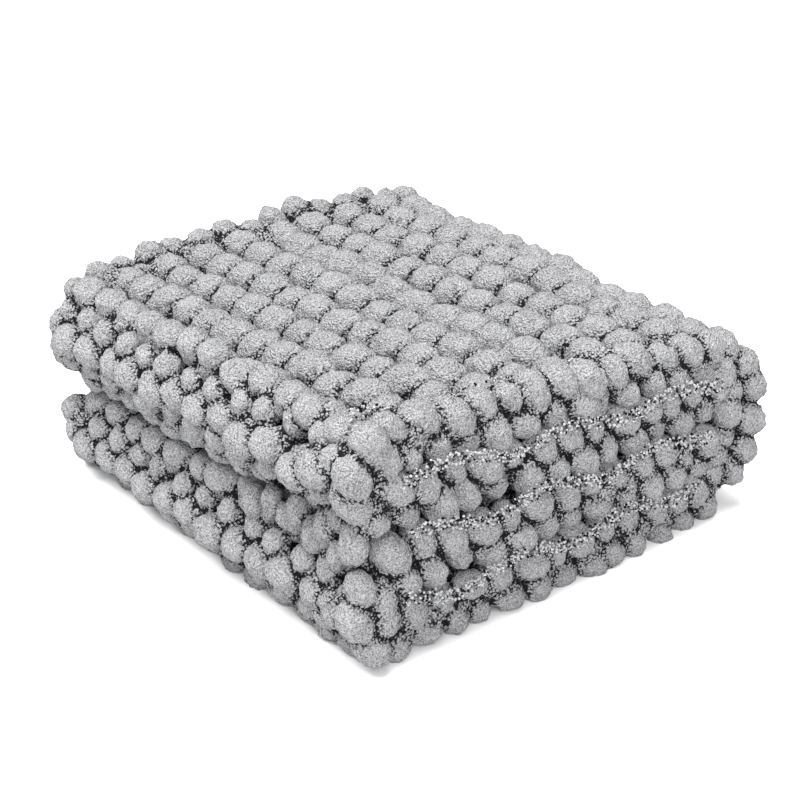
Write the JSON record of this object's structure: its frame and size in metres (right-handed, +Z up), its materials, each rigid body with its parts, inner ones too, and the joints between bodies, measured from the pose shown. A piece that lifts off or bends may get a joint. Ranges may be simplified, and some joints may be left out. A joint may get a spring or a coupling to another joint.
{
  "type": "knitted blanket",
  "caption": "Chunky chenille knit blanket folded into a thick four-layer stack, puffed ridges across the top, folds at both ends.",
  "frame": {"origin": "middle of the folded stack's footprint, on the surface it lies on", "axes": "+X across the knitted ridges, towards the single large bight; +Y along the ridges, towards the back side edges; +Z up"},
  "size_m": [0.3572, 0.3654, 0.1684],
  "materials": {
    "grey chenille": "soft pile"
  },
  "bodies": {
    "root": {"blanket": "grey chenille"}
  },
  "joints": []
}
